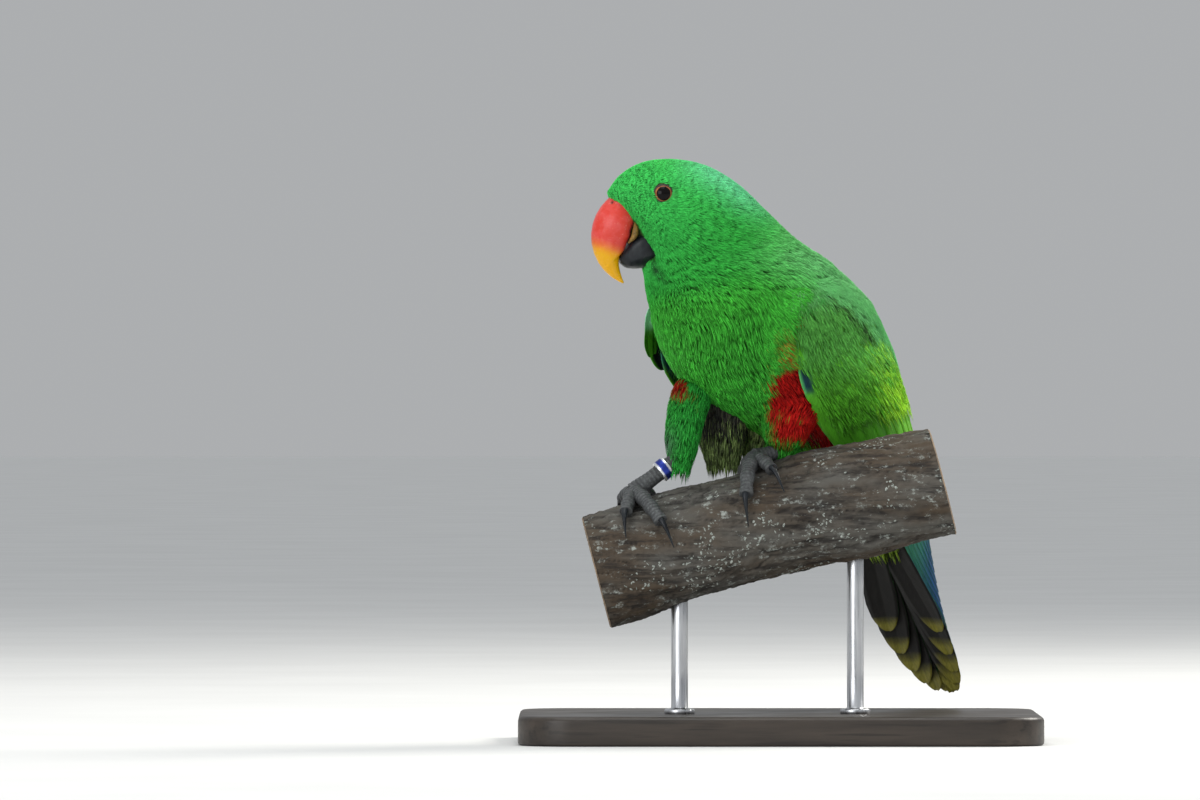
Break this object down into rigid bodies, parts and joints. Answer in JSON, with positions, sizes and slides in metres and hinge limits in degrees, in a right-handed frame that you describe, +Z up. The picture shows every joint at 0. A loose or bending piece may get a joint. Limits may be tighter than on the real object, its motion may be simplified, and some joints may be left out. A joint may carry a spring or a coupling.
{
  "type": "eclectus parrot",
  "caption": "Life-size still model of a male eclectus parrot leaning forward on a cut branch, held up by a flat base and two short rods.",
  "frame": {"origin": "middle of the display base's underside, with the middle of the bird's trunk straight above it", "axes": "+Z up, +X along the perch towards the bird's tail side, and the bird's breast faces between -X and -Y"},
  "size_m": [0.25, 0.18, 0.2788],
  "materials": {
    "green_plumage": "soft feather, matt with a slight sheen",
    "wing_plumage": "flat vanes, satin",
    "tail_plumage": "flat vanes, satin",
    "red_horn": "smooth horn, coral red to yellow at the tip",
    "black_horn": "smooth dark horn",
    "eye": "wet gloss",
    "foot_skin": "grey scaly skin",
    "claw": "dark horn",
    "bark": "old rough bark",
    "ring": "blue anodised band with a bare edge",
    "stand_base": "dark stained wood, satin",
    "stand_rod": "brushed"
  },
  "bodies": {
    "root": {"head": "green_plumage", "neck": "green_plumage", "torso": "green_plumage", "bill_upper": "red_horn", "bill_lower": "black_horn", "eye_left": "eye", "eye_right": "eye", "wing_left": "wing_plumage", "wing_right": "wing_plumage", "tail": "tail_plumage", "leg_left": "green_plumage", "leg_right": "green_plumage", "foot_left": "foot_skin", "foot_right": "foot_skin", "claw_left_inner_front": "claw", "claw_left_outer_front": "claw", "claw_left_outer_rear": "claw", "claw_left_inner_rear": "claw", "claw_right_inner_front": "claw", "claw_right_outer_front": "claw", "claw_right_outer_rear": "claw", "claw_right_inner_rear": "claw", "leg_ring": "ring", "perch": "bark", "stand_base": "stand_base", "stand_rod_1": "stand_rod", "stand_rod_2": "stand_rod"}
  },
  "joints": []
}
